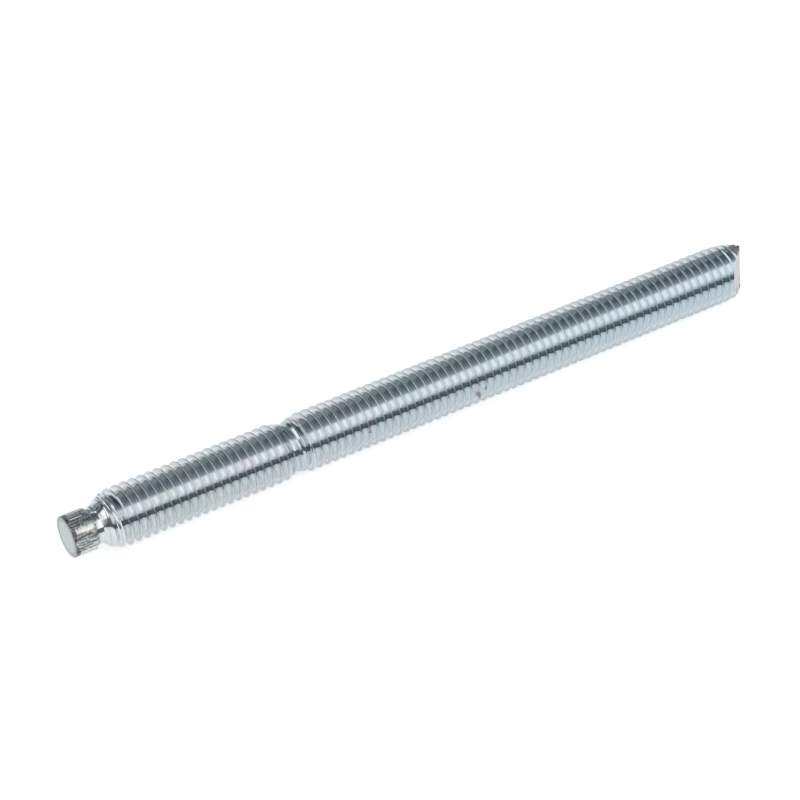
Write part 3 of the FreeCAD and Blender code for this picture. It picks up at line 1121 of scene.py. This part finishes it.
@dataclass(frozen=True)
class SwagedPlate(ZincPlate):
    """Zinc plate on the drive hexagon.

    The die scratches the flats along the bar, so they are half dull with dark streaks, and it burnishes the corners
    to bright warm strips with fine ticks across. It scored one line along the upper flat, which is rough and white.
    The cone round the face is darker, and the face is plain and matt.
    """

    surface = Surface.SWAGED

    flat: str = "c3c1c0"
    scratch: str = "8b8785"
    scratch_length: float = 3.0
    scratch_turn: float = 0.12
    scratch_share: float = 0.6
    burnished: str = "dfdbd3"
    corner_edge: tuple[float, float] = (-0.045, -0.029)
    tick_spacing: float = 0.3
    tick_turn: float = 1.0
    tick_noise: tuple[float, float] = (0.35, 0.5)
    tick_tone: float = 0.86
    band_softness: float = 0.4
    score: str = "ffffff"
    score_across: tuple[float, float] = (-0.255, -0.075)
    score_front: tuple[float, float] = (-64.45, -64.25)
    score_back: tuple[float, float] = (-62.05, -62.35)
    score_height: tuple[float, float] = (3.0, 3.2)
    lead: str = "b6b4b8"
    lead_edge: tuple[float, float] = (0.05, 0.01)
    face: str = "d6dfdc"
    face_edge: tuple[float, float] = (0.06, 0.01)
    face_rim: str = "b9b4ba"
    rim_edge: tuple[float, float] = (2.2, 3.3)
    flat_roughness: float = 0.42
    corner_roughness: float = 0.13
    score_roughness: float = 0.85

    def scored_line(self, tree: bpy.types.NodeTree, places: Places) -> bpy.types.Node:
        """Mask the bright line that the die scored along the upper flat.

        Args:
            tree: The material's nodes.
            places: Where each point is.

        Returns:
            The mask, which leaves out the lower flats.
        """
        mask = self.in_band(tree, places.across, *self.score_across)
        for value, edge in (
            (places.along, self.score_front), (places.along, self.score_back), (places.height, self.score_height)
        ):
            side = add_node(tree, "MapRange", SMOOTH, Value=value, **between(edge))
            mask = add_node(tree, "Math", MULTIPLY, in_0=mask, in_1=side)
        return mask

    def on_lead(self, tree: bpy.types.NodeTree, places: Places) -> bpy.types.Node:
        """Mask the cone that turns the corners down to the face.

        Args:
            tree: The material's nodes.
            places: Where each point is.

        Returns:
            The mask.
        """
        slope = math.tan(self.blank.drive_lead_angle)
        at_middle = (self.blank.face_radius - self.blank.drive_face * slope) / MM
        lead = add_node(tree, "Math", MULTIPLY_ADD, in_0=places.along, in_1=slope, in_2=at_middle)
        inside = add_node(tree, "Math", SUBTRACT, in_0=lead, in_1=places.radius)
        return add_node(tree, "MapRange", SMOOTH, Value=inside, **between(self.lead_edge))

    def layers(self, tree: bpy.types.NodeTree, places: Places) -> Layers:
        """Add the swaged finish: the flats, then the corners, the scored line, the cone and the face.

        Args:
            tree: The material's nodes.
            places: Where each point is.

        Returns:
            The finish.
        """
        scratches = self.streaks(tree, places, self.scratch_length, self.scratch_turn)
        blotches = add_node(tree, "Math", MULTIPLY, in_0=self.grain(tree, places), in_1=1 - self.scratch_share)
        wear = add_node(tree, "Math", MULTIPLY_ADD, in_0=scratches, in_1=self.scratch_share, in_2=blotches)
        stops = [(0.43, self.scratch), (0.5, self.flat), (0.57, self.plate)]
        flats = add_node(tree, "ValToRGB", {"stops": stops}, Fac=wear)

        near_crown = between(self.corner_edge, at=self.blank.crown_radius / MM)
        corner = add_node(tree, "MapRange", SMOOTH, Value=places.radius, **near_crown)
        ticks = self.streaks(tree, places, self.tick_spacing, self.tick_turn)
        ticks = add_node(tree, "MapRange", Value=ticks, **between(self.tick_noise, low=self.tick_tone))
        burnished = add_node(tree, "MixRGB", TINT, Fac=1.0, Color1=linear(self.burnished), Color2=ticks)
        colour = add_node(tree, "MixRGB", Fac=corner, Color1=flats, Color2=burnished)
        scored = self.scored_line(tree, places)
        colour = add_node(tree, "MixRGB", Fac=scored, Color1=colour, Color2=linear(self.score))
        roughness = add_node(tree, "MapRange", Value=corner, To_Min=self.flat_roughness, To_Max=self.corner_roughness)
        roughness = add_node(tree, "Mix", NUMBERS, Factor=scored, A=roughness, B=self.score_roughness)

        lead = add_node(tree, "MixRGB", TINT, Fac=1.0, Color1=flats, Color2=linear(self.lead))
        colour = add_node(tree, "MixRGB", Fac=self.on_lead(tree, places), Color1=colour, Color2=lead)
        rim = add_node(tree, "MapRange", SMOOTH, Value=places.radius, **between(self.rim_edge))
        face = add_node(tree, "MixRGB", Fac=rim, Color1=linear(self.face), Color2=linear(self.face_rim))
        near_end = between(self.face_edge, at=self.blank.drive_face / MM)
        on_face = add_node(tree, "MapRange", SMOOTH, Value=places.along, **near_end)
        colour = add_node(tree, "MixRGB", Fac=on_face, Color1=colour, Color2=face)
        return Layers(colour, roughness, wear)


@dataclass(frozen=True)
class ShearedPlate(ZincPlate):
    """Zinc plate on the slopes of the tip.

    The shear tears the steel, so they are pale and matt, with faint lines that are drawn coarser than real to show.
    """

    surface = Surface.SHEARED

    metallic: float = 0.55
    torn: str = "f2f0f1"
    torn_line: str = "dcd8d8"
    line_spacing: float = 1 / 3
    line_length: float = 2.5
    roughness: float = 0.42

    def layers(self, tree: bpy.types.NodeTree, places: Places) -> Layers:
        """Add the sheared finish.

        Args:
            tree: The material's nodes.
            places: Where each point is.

        Returns:
            The finish, with the lines that the blade dragged down the slopes.
        """
        scale = (1 / self.line_spacing, 1 / self.line_spacing, 1 / self.line_length)
        scaled = add_node(tree, "Mapping", Vector=places.point, Scale=scale)
        lines = add_node(tree, "TexNoise", Vector=scaled, Scale=1.0, Detail=3.0)
        tones = add_node(tree, "ValToRGB", {"stops": [(0.35, self.torn_line), (0.55, self.torn)]}, Fac=lines)
        return Layers(tones, self.roughness, lines)


FINISHES: tuple[type[ZincPlate], ...] = (RolledPlate, SwagedPlate, ShearedPlate)


@dataclass(frozen=True)
class AnchorStud:
    """The whole stud as one closed piece.

    Attributes:
        crisp_edge: The angle between two faces from which their edge stays crisp.
        slope_corners: How many corners only the faces of the tip's slopes have.
    """

    blank: Blank
    thread: ThreadForm
    crisp_edge: float = math.radians(40)
    slope_corners: int = 50

    def join(self) -> bpy.types.Object:
        """Join the drive end to the shank at the front of the neck, and close the joint.

        Returns:
            The stud as one closed shape, with the bar's axis on Y = Z = 0.
        """
        stud = ThreadedShank(self.blank, self.thread).build()
        hexagon = DriveEnd(self.blank).build()
        work_on(stud, mode="OBJECT")
        hexagon.select_set(True)
        bpy.ops.object.join()
        work_on(stud)
        pick("EDGE", lambda edge: len(edge.link_faces) == 1)
        bpy.ops.mesh.bridge_edge_loops()
        bpy.ops.mesh.select_all(action="SELECT")
        bpy.ops.mesh.dissolve_degenerate(threshold=NEAR)
        bpy.ops.mesh.select_all(action="SELECT")
        bpy.ops.mesh.normals_make_consistent(inside=False)
        bpy.ops.object.mode_set(mode="OBJECT")
        return stud

    def flatten_flanks(self, stud: bpy.types.Object) -> None:
        """Let each point's normal follow the larger faces beside it, so that flanks and flats stay flat.

        The weights tell faces apart by their areas, which are too small in square metres, so the stud is a thousand
        times as large while they are worked out.

        Args:
            stud: The closed stud, which is changed in place.
        """
        for scale in (1 / MM, MM):
            bpy.ops.transform.resize(value=(scale, scale, scale), center_override=(0, 0, 0))
            bpy.ops.object.transform_apply()
            if scale > 1:
                weights = stud.modifiers.new("Flat flanks", "WEIGHTED_NORMAL")
                weights.keep_sharp = True
                bpy.ops.object.modifier_apply(modifier=weights.name)

    def surface_at(self, face: bpy.types.MeshPolygon) -> Surface:
        """Say how the steel under a face was formed.

        Args:
            face: A face of the finished piece.

        Returns:
            The kind of surface that the face is part of.
        """
        if face.center.x < self.blank.neck_start:
            return Surface.SWAGED
        if face.center.x > 0 and len(face.vertices) > self.slope_corners:
            return Surface.SHEARED
        return Surface.ROLLED

    def dress(self, stud: bpy.types.Object) -> None:
        """Give each face of the stud the finish of the steel under it.

        Args:
            stud: The finished piece.
        """
        stud.data.materials.clear()
        for finish in FINISHES:
            stud.data.materials.append(finish(self.blank, self.thread).material())
        order = [finish.surface for finish in FINISHES]
        for face in stud.data.polygons:
            face.material_index = order.index(self.surface_at(face))

    def build(self) -> bpy.types.Object:
        """Make the stud where the frame has it, and dress it.

        Returns:
            The finished piece, shaded smooth, with flat flanks and crisp edges.
        """
        stud = self.join()
        stud.name = stud.data.name = NODE + "_threaded"
        work_on(stud, mode="OBJECT")
        bpy.ops.object.shade_smooth_by_angle(angle=self.crisp_edge)
        self.flatten_flanks(stud)
        stud.location.z = AXIS_HEIGHT
        bpy.ops.object.transform_apply()
        self.dress(stud)
        return stud


@dataclass(frozen=True)
class RoomBand:
    """The room's light in the directions past one place on X.

    Attributes:
        starts: The direction's X at which the band starts to cover the one before it.
        full: The direction's X from which it alone shows.
        tones: Its colours by the degrees that they rise round the bar, from the floor's edge in front at 0, over the
            ceiling, to the floor's edge behind at 180.
    """

    starts: float
    full: float
    tones: tuple[tuple[float, str], ...]


# The wall past the drive end is pale and plain, and lies under all the other bands.
END_WALL = RoomBand(-2.0, -1.5, ((0, "bcc3c6"), (180, "c4cacc")))
# Beside it the softbox stands high, with a dark gap under it and a dark ceiling over it.
NEAR_END = RoomBand(-0.97, -0.93, (
    (0, "525d63"), (60, "5f6a70"), (76, "ffffff"), (130, "ffffff"), (141, "4c565d"), (170, "525b60"),
    (176, "c6caca"), (180, "cacdcd"),
))
# Further along it reaches down to the gap, a little dimmer in its lower half.
NEAR_SIDE = RoomBand(-0.88, -0.8, (
    (0, "525d63"), (20, "525d63"), (27, "dfe3e5"), (70, "dfe3e5"), (78, "ffffff"), (128, "ffffff"),
    (140, "4c565d"), (170, "525b60"), (176, "c6caca"), (180, "cacdcd"),
))
# Over the middle of the bar it is a long low strip with a dark ceiling behind it.
MIDDLE = RoomBand(-0.42, -0.3, (
    (0, "59646a"), (19, "59646a"), (23, "ffffff"), (66, "ffffff"), (72, "d0d6d9"), (80, "7a848b"),
    (94, "606a71"), (110, "4f595f"), (125, "525b60"), (130, "7f878a"), (161, "868e90"), (169, "c6caca"),
    (180, "cacdcd"),
))
# Toward the tip its lower edge is soft, and the ceiling has a paler seam.
FAR_END = RoomBand(0.3, 0.46, (
    (0, "59646a"), (13, "59646a"), (24, "c0c6c9"), (40, "ffffff"), (66, "ffffff"), (72, "e4e8ea"),
    (80, "949ea4"), (94, "727c83"), (110, "5c666c"), (136, "68737a"), (140, "929ca1"), (148, "929ca1"),
    (152, "5d676e"), (161, "626c72"), (166, "b4babb"), (180, "cacdcd"),
))


@dataclass(frozen=True)
class Studio:
    """A pale floor, a room with a long softbox in front of the bar, and the camera.

    The camera sees the room and the floor as white. The metal sees the room's own tones, and of the floor a pale
    stretch near the bar and a dark one in front of it. The lens and the sensor are in millimetres, and other lengths
    are in metres.
    """

    lens: float = 135.877
    sensor: float = 36.0
    distance: float = 0.49732
    camera_turn: float = math.radians(-31.046)
    camera_rise: float = math.radians(42.062)
    aim: tuple[float, float, float] = (-0.00387, 0.0, 0.0006)
    nearest_seen: float = 0.01
    room: tuple[RoomBand, ...] = (END_WALL, NEAR_END, NEAR_SIDE, MIDDLE, FAR_END)
    room_level: float = 1.25
    floor_size: float = 4.0
    paper: str = "f0f1f2"
    paper_in_front: str = "5c666b"
    front_edge: tuple[float, float] = (-0.032, -0.07)
    paper_glow: float = 0.57
    mirrored_edge: tuple[float, float] = (-0.028, -0.012)
    mirrored_glow: tuple[float, float] = (0.24, 0.36)

    def place_camera(self) -> None:
        """Look along the bar from in front of its drive end and from above."""
        flat = math.cos(self.camera_rise)
        back = Vector((
            math.sin(self.camera_turn) * flat, -math.cos(self.camera_turn) * flat, math.sin(self.camera_rise)
        ))
        camera = bpy.data.cameras.new("camera")
        camera.lens = self.lens
        camera.sensor_width = self.sensor
        camera.clip_start = self.nearest_seen
        viewer = bpy.data.objects.new("camera", camera)
        viewer.location = Vector(self.aim) + Vector((0, 0, AXIS_HEIGHT)) + back * self.distance
        viewer.rotation_euler = back.to_track_quat("Z", "Y").to_euler()
        bpy.context.collection.objects.link(viewer)
        bpy.context.scene.camera = viewer

    def light_room(self) -> None:
        """Paint the room's light round the bar's axis, one band over another from the drive end to the tip."""
        world = bpy.data.worlds.new("studio")
        bpy.context.scene.world = world
        world.use_nodes = True
        tree = world.node_tree
        tree.nodes.clear()
        way = add_node(tree, "TexCoord").outputs["Generated"]
        along, across, height = add_node(tree, "SeparateXYZ", Vector=way).outputs
        front = add_node(tree, "Math", MULTIPLY, in_0=across, in_1=-1.0)
        rise = add_node(tree, "Math", {"operation": "ARCTAN2"}, in_0=height, in_1=front)
        half_turns = add_node(tree, "Math", {"operation": "DIVIDE"}, in_0=rise, in_1=math.pi)
        light = (0.0, 0.0, 0.0, 1.0)
        for band in self.room:
            stops = [(degrees / 180, colour) for degrees, colour in band.tones]
            tones = add_node(tree, "ValToRGB", {"stops": stops}, Fac=half_turns)
            share = add_node(tree, "MapRange", SMOOTH, Value=along, **between((band.starts, band.full)))
            light = add_node(tree, "MixRGB", Fac=share, Color1=light, Color2=tones)
        lit = add_node(tree, "Background", Color=light, Strength=self.room_level)
        seen = add_node(tree, "Background", Color=(1, 1, 1, 1), Strength=1.0)
        by_camera = add_node(tree, "LightPath").outputs["Is Camera Ray"]
        add_node(tree, "OutputWorld", Surface=add_node(tree, "MixShader", Fac=by_camera, in_1=lit, in_2=seen))

    def floor_material(self) -> bpy.types.Material:
        """Make the matt paper of the floor, which takes the stud's soft shadow and has no gloss.

        Returns:
            The material, which glows a little for the camera and for the metal near it, and is dark in front for the
            metal alone.
        """
        material = bpy.data.materials.new("pale studio floor")
        material.use_nodes = True
        tree = material.node_tree
        tree.nodes.clear()
        rays = add_node(tree, "LightPath")
        across = add_node(tree, "SeparateXYZ", Vector=add_node(tree, "TexCoord").outputs["Object"]).outputs["Y"]
        front = add_node(tree, "MapRange", SMOOTH, Value=across, **between(self.front_edge))
        in_front = add_node(tree, "Math", MULTIPLY, in_0=rays.outputs["Is Glossy Ray"], in_1=front)
        colour = add_node(tree, "MixRGB", Fac=in_front, Color1=linear(self.paper), Color2=linear(self.paper_in_front))
        seen = add_node(tree, "Math", MULTIPLY, in_0=rays.outputs["Is Camera Ray"], in_1=self.paper_glow)
        mirrored = add_node(tree, "Math", SUBTRACT, in_0=rays.outputs["Is Glossy Ray"], in_1=in_front)
        low, high = self.mirrored_glow
        glow = add_node(tree, "MapRange", SMOOTH, Value=across, **between(self.mirrored_edge, low=low, high=high))
        strength = add_node(tree, "Math", MULTIPLY_ADD, in_0=mirrored, in_1=glow, in_2=seen)
        shine = add_node(tree, "Emission", Color=(1, 1, 1, 1), Strength=strength)
        both = add_node(tree, "AddShader", in_0=add_node(tree, "BsdfDiffuse", Color=colour), in_1=shine)
        add_node(tree, "OutputMaterial", Surface=both)
        return material

    def lay_floor(self) -> None:
        """Lay the pale floor that the stud rests on."""
        start_afresh()
        bpy.ops.mesh.primitive_plane_add(size=self.floor_size)
        floor = bpy.context.object
        floor.name = "floor"
        floor.data.materials.append(self.floor_material())

    def set_up(self) -> None:
        """Set up the whole studio."""
        bpy.context.scene.view_settings.view_transform = "Standard"
        self.place_camera()
        self.light_room()
        self.lay_floor()


def main() -> None:
    """Build and dress the stud, and set up the studio."""
    logging.basicConfig(level=logging.INFO, format="%(message)s", stream=sys.stdout)
    fixture = wall_ends("fixture_thread")
    embedment = wall_ends("embedment_thread")
    low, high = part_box(NODE)
    crest_radius = MOUNTS["embedment_thread"]["dims"]["r_mm"] * MM
    blank = Blank(low[0], high[0], fixture[0], fixture[1], embedment[0], embedment[1], crest_radius)
    thread = ThreadForm(crest_radius, crest_on_top=low[0] + FIRST_CREST)
    stud = AnchorStud(blank, thread).build()
    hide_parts(NODE)
    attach(stud, "root")
    LOG.info("%s: %d faces", stud.name, len(stud.data.polygons))
    Studio().set_up()


if __name__ == "__main__":
    main()
